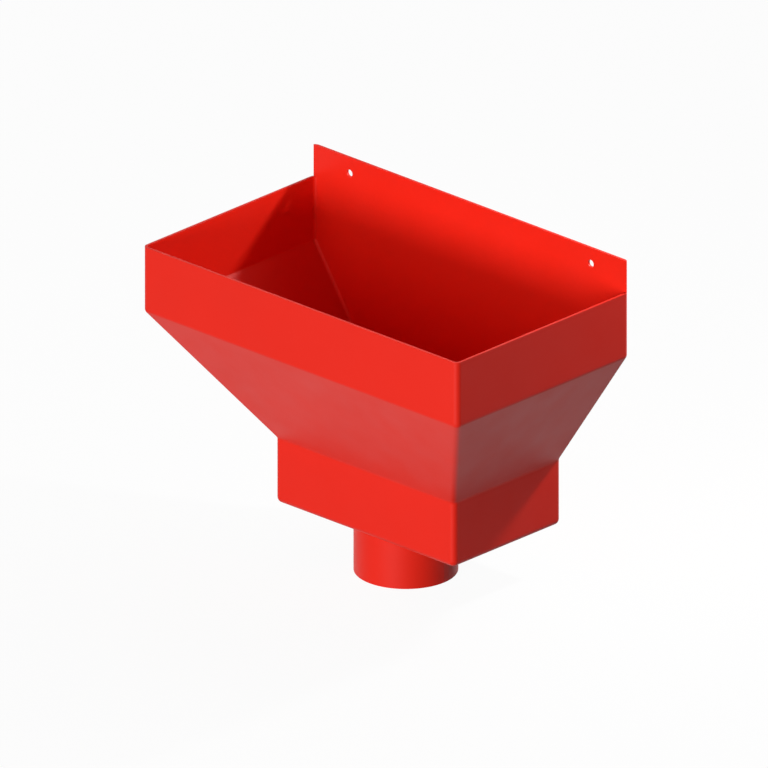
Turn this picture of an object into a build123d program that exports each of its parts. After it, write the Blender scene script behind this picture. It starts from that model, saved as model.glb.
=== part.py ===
from build123d import *

import os

# A downpipe hopper head in coated sheet metal: an open rim band, a tapered throat whose front and sides
# slope in while the back stays flat for the wall, a box with a closed base, and a round outlet spigot.
# The back wall runs on above the rim as an upstand, which two screws hold to the wall.
# It is one piece. X runs along the wall, Y towards the wall and Z up, in millimetres, and the origin is
# the middle of the spigot's lower end.

# Body, measured outside
width = 310.0
depth = 179.0
rim_height = 49.5
taper_height = 99.5
box_height = 51.0
side_run = 67.0
front_run = 67.0
upstand_height = 24.5

# Sheet, and its radii measured outside: one for all that turns outwards, which is the corners, the bend
# under the rim and the edges round the base, and one for the throat, which turns inwards
sheet = 2.0
corner_radius = 4.5
throat_radius = 5.0

# Outlet spigot
spigot_diameter = 75.0
spigot_wall = 2.0
spigot_length = 39.0
spigot_to_wall = 68.7

# Screw holes in the upstand
fixing_diameter = 5.6
fixing_spacing = 237.5
fixing_drop = 12.2

# Levels above the spigot's lower end
base_level = spigot_length
throat_level = base_level + box_height
rim_bend_level = throat_level + taper_height
rim_level = rim_bend_level + rim_height
top_level = rim_level + upstand_height

# Faces of the body
wall_face = spigot_to_wall
front_face = wall_face - depth
box_front = front_face + front_run
side_face = width / 2
box_side = side_face - side_run
spigot_radius = spigot_diameter / 2

with BuildPart() as hopper_head:
    # The outline seen from the front, both sides bending in at the throat, as deep as the body
    with BuildSketch(Plane.XZ.offset(-wall_face)) as front_view:
        with BuildLine():
            side = FilletPolyline(
                (box_side, base_level),
                (box_side, throat_level),
                (side_face, rim_bend_level),
                radius=throat_radius,
            )
            Line((0, base_level), side @ 0)
            Polyline(side @ 1, (side_face, top_level), (0, top_level))
            mirror(about=Plane.YZ)
        make_face()
    extrude(amount=depth)

    # What is common to it and the outline seen from the side, where only the front bends in
    with BuildSketch(Plane.YZ) as side_view:
        with BuildLine():
            front = FilletPolyline(
                (box_front, base_level),
                (box_front, throat_level),
                (front_face, rim_bend_level),
                radius=throat_radius,
            )
            Polyline(
                front @ 1,
                (front_face, top_level),
                (wall_face, top_level),
                (wall_face, base_level),
                front @ 0,
            )
        make_face()
    extrude(amount=side_face, both=True, mode=Mode.INTERSECT)

    # The four corners from top to base, the bend under the rim and the edges round the base
    corners = hopper_head.edges().filter_by(Plane.XY, reverse=True)
    rim_bend = hopper_head.edges().filter_by_position(Axis.Z, rim_bend_level, rim_bend_level)
    base_edges = hopper_head.faces().sort_by(Axis.Z).first.edges()
    fillet(corners + rim_bend + base_edges, corner_radius)

    # One thickness of sheet all over, open at the top
    offset(amount=-sheet, openings=hopper_head.faces().sort_by(Axis.Z).last)

    # The front and the sides end at the rim, and only the back wall goes on up
    with BuildSketch(Plane.YZ) as above_rim:
        with Locations((front_face, rim_level)):
            Rectangle(depth - sheet, upstand_height, align=(Align.MIN, Align.MIN))
    extrude(amount=side_face, both=True, mode=Mode.SUBTRACT)

    # The spigot, from its lower end up through the base, and its bore
    with BuildSketch() as spigot_outside:
        Circle(spigot_radius)
    extrude(amount=base_level + sheet)
    with BuildSketch() as spigot_bore:
        Circle(spigot_radius - spigot_wall)
    extrude(amount=base_level + sheet, mode=Mode.SUBTRACT)

    # A screw hole near each end of the upstand
    with BuildSketch(Plane.XZ.offset(-wall_face)) as fixing_holes:
        with Locations((0, top_level - fixing_drop)):
            with GridLocations(fixing_spacing, 0, 2, 1):
                Circle(fixing_diameter / 2)
    extrude(amount=sheet, mode=Mode.SUBTRACT)

hopper_head.part.label = "hopper_head"

os.makedirs("parts", exist_ok=True)
export_step(hopper_head.part, "parts/hopper_head.step")
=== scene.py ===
"""Finishes a downpipe hopper head for a studio picture: its red coating, and the floor, lamps and camera."""

import math

import bmesh
import bpy
from bpy.props import FloatProperty, FloatVectorProperty, PointerProperty
from bpy.types import Operator, Panel, PropertyGroup
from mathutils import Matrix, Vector


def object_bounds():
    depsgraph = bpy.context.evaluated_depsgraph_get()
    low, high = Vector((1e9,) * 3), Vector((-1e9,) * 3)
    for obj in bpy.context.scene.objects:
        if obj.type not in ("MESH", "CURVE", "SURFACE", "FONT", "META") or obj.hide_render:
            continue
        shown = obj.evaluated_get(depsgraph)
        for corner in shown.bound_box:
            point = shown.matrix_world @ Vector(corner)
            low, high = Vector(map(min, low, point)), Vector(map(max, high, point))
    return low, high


bl_info = {
    "name": "Hopper Head Finish",
    "version": (1, 0, 0),
    "blender": (4, 5, 0),
    "location": "3D View > Sidebar > Hopper Head",
    "description": "Coats a sheet-metal hopper head and sets up the stage that it is pictured on",
    "category": "Object",
}

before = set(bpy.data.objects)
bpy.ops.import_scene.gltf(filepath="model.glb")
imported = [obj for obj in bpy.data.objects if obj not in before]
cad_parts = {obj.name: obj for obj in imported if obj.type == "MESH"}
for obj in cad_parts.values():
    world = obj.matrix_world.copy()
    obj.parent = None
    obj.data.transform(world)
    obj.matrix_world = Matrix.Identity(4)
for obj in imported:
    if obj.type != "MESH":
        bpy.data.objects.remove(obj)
BOX_LOW, BOX_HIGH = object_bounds()
OBJECT_MIDDLE = (BOX_LOW + BOX_HIGH) / 2.0

HEAD = "hopper_head"
PICTURE_SIDE = 768
FAR_LAMPS = ("fill", "soft", "side")
NEAR_LAMPS = ("key", "back")
WHITE = (1.0, 1.0, 1.0, 1.0)

# Nearly all of a noise texture lies between these two values.
NOISE_LOW = 0.25
NOISE_HIGH = 0.75
# How many finer layers each noise has.
TONE_DETAIL = 2.0
GLOSS_DETAIL = 3.0
PEEL_DETAIL = 1.0
# The film's tone drifts in patches this many times as wide as its gloss does.
TONE_TO_GLOSS_PATCH = 3.0
# A face more level than this is duller, up to the edge roughness on one that is quite level.
LEVEL_FROM = 0.9


class CoatingSettings(PropertyGroup):
    """The powder coating on the sheet."""

    colour: FloatVectorProperty(
        name="Colour",
        description="Colour of the coating",
        subtype="COLOR",
        size=4,
        min=0.0,
        max=1.0,
        default=(0.8, 0.0155, 0.0045, 1.0),
    )
    roughness: FloatProperty(
        name="Roughness",
        description="Mean roughness of the cured film",
        subtype="FACTOR",
        min=0.0,
        max=1.0,
        default=0.48,
    )
    edge_roughness: FloatProperty(
        name="Edge Roughness",
        description="Roughness on the cut edges and other level faces, where the film is duller",
        subtype="FACTOR",
        min=0.0,
        max=1.0,
        default=0.75,
    )
    gloss: FloatProperty(
        name="Gloss",
        description="Strength of the film's reflections, where 0.5 is that of a plain lacquer",
        subtype="FACTOR",
        min=0.0,
        max=1.0,
        default=0.28,
    )
    gloss_drift: FloatProperty(
        name="Gloss Drift",
        description="How far the roughness wanders either side of its mean",
        min=0.0,
        max=0.2,
        default=0.03,
    )
    tone_drift: FloatProperty(
        name="Tone Drift",
        description="How far the film's thickness lightens and darkens the colour",
        min=0.0,
        max=0.2,
        default=0.02,
    )
    tone_patch: FloatProperty(
        name="Tone Patch",
        description="Width of a patch of thicker or thinner film, which is lighter or darker",
        unit="LENGTH",
        min=0.001,
        default=0.07,
    )
    peel_width: FloatProperty(
        name="Peel Width",
        description="Distance from crest to crest of the orange peel",
        unit="LENGTH",
        min=0.0001,
        default=0.0024,
    )
    peel_depth: FloatProperty(
        name="Peel Depth",
        description="Depth of the orange peel",
        unit="LENGTH",
        min=0.0,
        default=0.000006,
    )


def azimuth_setting(thing, degrees):
    """A setting for where a lamp or the camera stands round the object."""
    return FloatProperty(
        name=f"{thing} Azimuth",
        description=f"Where the {thing.lower()} stands, from straight in front round to the right",
        subtype="ANGLE",
        default=math.radians(degrees),
    )


def elevation_setting(thing, degrees):
    """A setting for how high a lamp or the camera stands."""
    return FloatProperty(
        name=f"{thing} Elevation",
        description=f"Height of the {thing.lower()} above the horizon",
        subtype="ANGLE",
        default=math.radians(degrees),
    )


def spread_setting(thing, degrees):
    """A setting for how wide a lamp is."""
    return FloatProperty(
        name=f"{thing} Spread",
        description=f"Width of the {thing.lower()} as the object sees it, which softens its shadows",
        subtype="ANGLE",
        default=math.radians(degrees),
    )


def strength_setting(thing, strength):
    """A setting for how strong a lamp is."""
    return FloatProperty(
        name=f"{thing} Strength",
        description=f"Light from the {thing.lower()} on a face square to it, in watts per square metre",
        min=0.0,
        default=strength,
    )


def distance_setting(thing, metres):
    """A setting for how far off a lamp or the camera stands."""
    return FloatProperty(
        name=f"{thing} Distance",
        description=f"How far from the object the {thing.lower()} stands",
        unit="LENGTH",
        min=0.3,
        default=metres,
    )


class StageSettings(PropertyGroup):
    """The floor, the lamps and the camera."""

    floor_width: FloatProperty(
        name="Floor Width",
        description="Side of the square floor",
        unit="LENGTH",
        min=0.5,
        default=40.0,
    )
    floor_shade: FloatProperty(
        name="Floor Shade",
        description="Share of the lamps' light that the floor gives back, which is how deep its shadows are",
        subtype="FACTOR",
        min=0.0,
        max=1.0,
        default=0.045,
    )
    floor_white: FloatProperty(
        name="Floor White",
        description="White added to the floor where it is seen, so that it meets the background",
        min=0.0,
        default=0.95,
    )
    surround: FloatProperty(
        name="Surround",
        description="Brightness of the even light from all round",
        min=0.0,
        default=0.01,
    )
    key_azimuth: azimuth_setting("Key Lamp", 14.3)
    key_elevation: elevation_setting("Key Lamp", 4.8)
    key_spread: spread_setting("Key Lamp", 12.0)
    key_strength: strength_setting("Key Lamp", 2.25)
    key_distance: distance_setting("Key Lamp", 3.5)
    fill_azimuth: azimuth_setting("Fill Lamp", 0.0)
    fill_elevation: elevation_setting("Fill Lamp", 20.0)
    fill_spread: spread_setting("Fill Lamp", 28.0)
    fill_strength: strength_setting("Fill Lamp", 0.85)
    soft_azimuth: azimuth_setting("Soft Lamp", 176.0)
    soft_elevation: elevation_setting("Soft Lamp", 42.0)
    soft_spread: spread_setting("Soft Lamp", 60.0)
    soft_strength: strength_setting("Soft Lamp", 1.15)
    side_azimuth: azimuth_setting("Side Lamp", -130.0)
    side_elevation: elevation_setting("Side Lamp", 8.0)
    side_spread: spread_setting("Side Lamp", 40.0)
    side_strength: strength_setting("Side Lamp", 1.2)
    back_azimuth: azimuth_setting("Back Lamp", 148.6)
    back_elevation: elevation_setting("Back Lamp", 41.0)
    back_spread: spread_setting("Back Lamp", 4.5)
    back_strength: strength_setting("Back Lamp", 2.05)
    back_distance: distance_setting("Back Lamp", 0.604)
    camera_azimuth: azimuth_setting("Camera", 43.5)
    camera_elevation: elevation_setting("Camera", 23.23)
    camera_distance: distance_setting("Camera", 2.0)
    pixels_per_metre: FloatProperty(
        name="Pixels per Metre",
        description="Scale of the picture",
        min=1.0,
        default=1400.0,
    )
    upstand_pixel: FloatVectorProperty(
        name="Upstand Pixel",
        description="Pixel of the middle of the upstand's top edge, across and down",
        size=2,
        default=(472.1, 201.9),
    )


def direction_to(azimuth, elevation):
    """The direction from the object to something that stands at that azimuth and elevation."""
    level = math.cos(elevation)
    return Vector((math.sin(azimuth) * level, -math.cos(azimuth) * level, math.sin(elevation)))


def aim(thing, direction):
    """Turns a lamp or camera to face the object from that direction."""
    thing.rotation_euler = (-direction).to_track_quat("-Z", "Y").to_euler()


def add_node(tree, kind, links=None, **values):
    """Adds a node, sets its properties and its sockets' values, and links its inputs."""
    node = tree.nodes.new(kind)
    for name, value in values.items():
        setattr(node, name, value)
    for socket, source in (links or {}).items():
        if isinstance(source, bpy.types.NodeSocket):
            tree.links.new(source, node.inputs[socket])
        else:
            node.inputs[socket].default_value = source
    return node


def empty_tree(owner):
    """A material's or world's node tree, with nothing in it."""
    owner.use_nodes = True
    owner.node_tree.nodes.clear()
    return owner.node_tree


def film_noise(tree, place, width, detail, low, high):
    """Noise in patches of that width, from low to high."""
    noise = add_node(tree, "ShaderNodeTexNoise", {"Vector": place, "Scale": 1.0 / width, "Detail": detail})
    spread = add_node(
        tree,
        "ShaderNodeMapRange",
        {
            "Value": noise.outputs["Fac"],
            "From Min": NOISE_LOW,
            "From Max": NOISE_HIGH,
            "To Min": low,
            "To Max": high,
        },
    )
    return spread.outputs["Result"]


def levelness(tree):
    """1 on a face that looks straight up or down, such as the rim's cut edge, and 0 on an upright one."""
    normal = add_node(tree, "ShaderNodeNewGeometry").outputs["Normal"]
    upward = add_node(tree, "ShaderNodeSeparateXYZ", {"Vector": normal}).outputs["Z"]
    return add_node(tree, "ShaderNodeMath", {0: upward}, operation="ABSOLUTE").outputs[0]


def coating_material(coating):
    """Powder coating: a satin film whose tone and gloss drift slightly, with a faint orange peel."""
    material = bpy.data.materials.new("red_coating_finish")
    tree = empty_tree(material)
    place = add_node(tree, "ShaderNodeTexCoord").outputs["Object"]

    darkest = 1.0 - coating.tone_drift
    lightest = 1.0 + coating.tone_drift
    tone = film_noise(tree, place, coating.tone_patch, TONE_DETAIL, darkest, lightest)
    film = add_node(tree, "ShaderNodeHueSaturation", {"Color": tuple(coating.colour), "Value": tone})

    glossiest = coating.roughness - coating.gloss_drift
    dullest = coating.roughness + coating.gloss_drift
    gloss_patch = coating.tone_patch / TONE_TO_GLOSS_PATCH
    film_roughness = film_noise(tree, place, gloss_patch, GLOSS_DETAIL, glossiest, dullest)
    roughness = add_node(
        tree,
        "ShaderNodeMapRange",
        {
            "Value": levelness(tree),
            "From Min": LEVEL_FROM,
            "To Min": film_roughness,
            "To Max": coating.edge_roughness,
        },
    ).outputs["Result"]

    peel = film_noise(tree, place, coating.peel_width, PEEL_DETAIL, 0.0, 1.0)
    bump = add_node(
        tree,
        "ShaderNodeBump",
        {"Height": peel, "Distance": coating.peel_depth, "Strength": 1.0},
    )

    shader = add_node(
        tree,
        "ShaderNodeBsdfPrincipled",
        {
            "Base Color": film.outputs["Color"],
            "Roughness": roughness,
            "Normal": bump.outputs["Normal"],
            "Specular IOR Level": coating.gloss,
        },
    )
    add_node(tree, "ShaderNodeOutputMaterial", {"Surface": shader.outputs["BSDF"]})
    return material


def seen_ray(tree):
    """1 for a ray that sees the background, straight, reflected or let through, and 0 for any other."""
    ray = add_node(tree, "ShaderNodeLightPath")
    seen_or_mirrored = add_node(
        tree,
        "ShaderNodeMath",
        {0: ray.outputs["Is Camera Ray"], 1: ray.outputs["Is Glossy Ray"]},
        operation="MAXIMUM",
    )
    any_of_them = add_node(
        tree,
        "ShaderNodeMath",
        {0: seen_or_mirrored.outputs[0], 1: ray.outputs["Is Transmission Ray"]},
        operation="MAXIMUM",
    )
    return any_of_them.outputs[0]


def floor_material(stage):
    """A plain floor that reads as white and keeps a faint shadow."""
    material = bpy.data.materials.new("pale_floor")
    tree = empty_tree(material)
    shade = stage.floor_shade
    matt = add_node(tree, "ShaderNodeBsdfDiffuse", {"Color": (shade, shade, shade, 1.0)})
    white = add_node(
        tree,
        "ShaderNodeMath",
        {0: seen_ray(tree), 1: stage.floor_white},
        operation="MULTIPLY",
    )
    glow = add_node(tree, "ShaderNodeEmission", {"Strength": white.outputs[0]})
    both = add_node(tree, "ShaderNodeAddShader", {0: matt.outputs[0], 1: glow.outputs[0]})
    add_node(tree, "ShaderNodeOutputMaterial", {"Surface": both.outputs[0]})
    return material


def add_floor(stage):
    """A square floor under the object's lowest point."""
    shape = bmesh.new()
    bmesh.ops.create_grid(shape, x_segments=1, y_segments=1, size=stage.floor_width / 2.0)
    bmesh.ops.translate(shape, verts=shape.verts, vec=(0.0, 0.0, BOX_LOW.z))
    mesh = bpy.data.meshes.new("floor")
    shape.to_mesh(mesh)
    shape.free()
    mesh.materials.append(floor_material(stage))
    floor = bpy.data.objects.new("floor", mesh)
    bpy.context.scene.collection.objects.link(floor)


def light_world(stage):
    """An even light from all round, which is white where it is seen."""
    world = bpy.data.worlds.new("studio")
    tree = empty_tree(world)
    strength = add_node(
        tree,
        "ShaderNodeMath",
        {0: seen_ray(tree), 1: 1.0 - stage.surround, 2: stage.surround},
        operation="MULTIPLY_ADD",
    )
    light = add_node(tree, "ShaderNodeBackground", {"Color": WHITE, "Strength": strength.outputs[0]})
    add_node(tree, "ShaderNodeOutputWorld", {"Surface": light.outputs[0]})
    bpy.context.scene.world = world


def lamp_direction(stage, name):
    """The direction from the object to that lamp."""
    return direction_to(getattr(stage, f"{name}_azimuth"), getattr(stage, f"{name}_elevation"))


def add_lamp(name, light, direction, place):
    """A lamp at that place, which faces the object from that direction and which the camera doesn't see."""
    lamp = bpy.data.objects.new(name, light)
    lamp.location = place
    lamp.visible_camera = False
    aim(lamp, direction)
    bpy.context.scene.collection.objects.link(lamp)


def add_far_lamp(stage, name):
    """A sun lamp, whose light comes from one direction wherever the lamp stands."""
    light = bpy.data.lights.new(f"{name}_lamp", "SUN")
    light.energy = getattr(stage, f"{name}_strength")
    light.angle = getattr(stage, f"{name}_spread")
    add_lamp(f"{name}_lamp", light, lamp_direction(stage, name), OBJECT_MIDDLE)


def add_near_lamp(stage, name):
    """A round lamp so near that its light weakens and its shadows fan out across the object."""
    distance = getattr(stage, f"{name}_distance")
    light = bpy.data.lights.new(f"{name}_lamp", "AREA")
    light.shape = "DISK"
    light.size = 2.0 * distance * math.tan(getattr(stage, f"{name}_spread") / 2.0)
    light.energy = getattr(stage, f"{name}_strength") * math.pi * distance**2
    direction = lamp_direction(stage, name)
    add_lamp(f"{name}_lamp", light, direction, OBJECT_MIDDLE + direction * distance)


def add_camera(stage):
    """A parallel camera that sees the middle of the upstand's top edge at its pixel of the picture."""
    data = bpy.data.cameras.new("camera")
    data.type = "ORTHO"
    data.ortho_scale = PICTURE_SIDE / stage.pixels_per_metre
    camera = bpy.data.objects.new("camera", data)
    back = direction_to(stage.camera_azimuth, stage.camera_elevation)
    aim(camera, back)
    turn = camera.rotation_euler.to_matrix()
    across, up = turn.col[0], turn.col[1]
    upstand = Vector((OBJECT_MIDDLE.x, BOX_HIGH.y, BOX_HIGH.z))
    right_of_middle, below_middle = (pixel - PICTURE_SIDE / 2.0 for pixel in stage.upstand_pixel)
    picture_middle = upstand - across * (right_of_middle / stage.pixels_per_metre)
    picture_middle += up * (below_middle / stage.pixels_per_metre)
    camera.location = picture_middle + back * stage.camera_distance
    bpy.context.scene.collection.objects.link(camera)
    bpy.context.scene.camera = camera


class HOPPER_OT_coat(Operator):
    """Gives the hopper head its powder coating, inside and out"""

    bl_idname = "hopper.coat"
    bl_label = "Coat Hopper Head"
    bl_options = {"REGISTER", "UNDO"}

    def execute(self, context):
        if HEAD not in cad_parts:
            raise RuntimeError(f"the packed model has no node named {HEAD}")
        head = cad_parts[HEAD]
        material = coating_material(context.scene.hopper_coating)
        for slot in head.material_slots:
            slot.material = material
        return {"FINISHED"}


class HOPPER_OT_stage(Operator):
    """Adds the floor, the surround, the lamps and the camera"""

    bl_idname = "hopper.stage"
    bl_label = "Set Up Stage"
    bl_options = {"REGISTER", "UNDO"}

    def execute(self, context):
        stage = context.scene.hopper_stage
        add_floor(stage)
        light_world(stage)
        for name in FAR_LAMPS:
            add_far_lamp(stage, name)
        for name in NEAR_LAMPS:
            add_near_lamp(stage, name)
        add_camera(stage)
        context.scene.view_settings.view_transform = "Standard"
        return {"FINISHED"}


class HOPPER_PT_finish(Panel):
    """Lists the steps and their settings"""

    bl_idname = "HOPPER_PT_finish"
    bl_label = "Hopper Head"
    bl_space_type = "VIEW_3D"
    bl_region_type = "UI"
    bl_category = "Hopper Head"

    def draw(self, context):
        for operator, settings in STEPS:
            box = self.layout.box()
            box.operator(operator)
            group = getattr(context.scene, settings)
            for name in group.__annotations__:
                box.prop(group, name)


STEPS = (
    ("hopper.coat", "hopper_coating"),
    ("hopper.stage", "hopper_stage"),
)

CLASSES = (
    CoatingSettings,
    StageSettings,
    HOPPER_OT_coat,
    HOPPER_OT_stage,
    HOPPER_PT_finish,
)


def register():
    for cls in CLASSES:
        bpy.utils.register_class(cls)
    bpy.types.Scene.hopper_coating = PointerProperty(type=CoatingSettings)
    bpy.types.Scene.hopper_stage = PointerProperty(type=StageSettings)


def unregister():
    del bpy.types.Scene.hopper_stage
    del bpy.types.Scene.hopper_coating
    for cls in reversed(CLASSES):
        bpy.utils.unregister_class(cls)


def main():
    register()
    bpy.ops.hopper.coat()
    bpy.ops.hopper.stage()


if __name__ == "__main__":
    main()
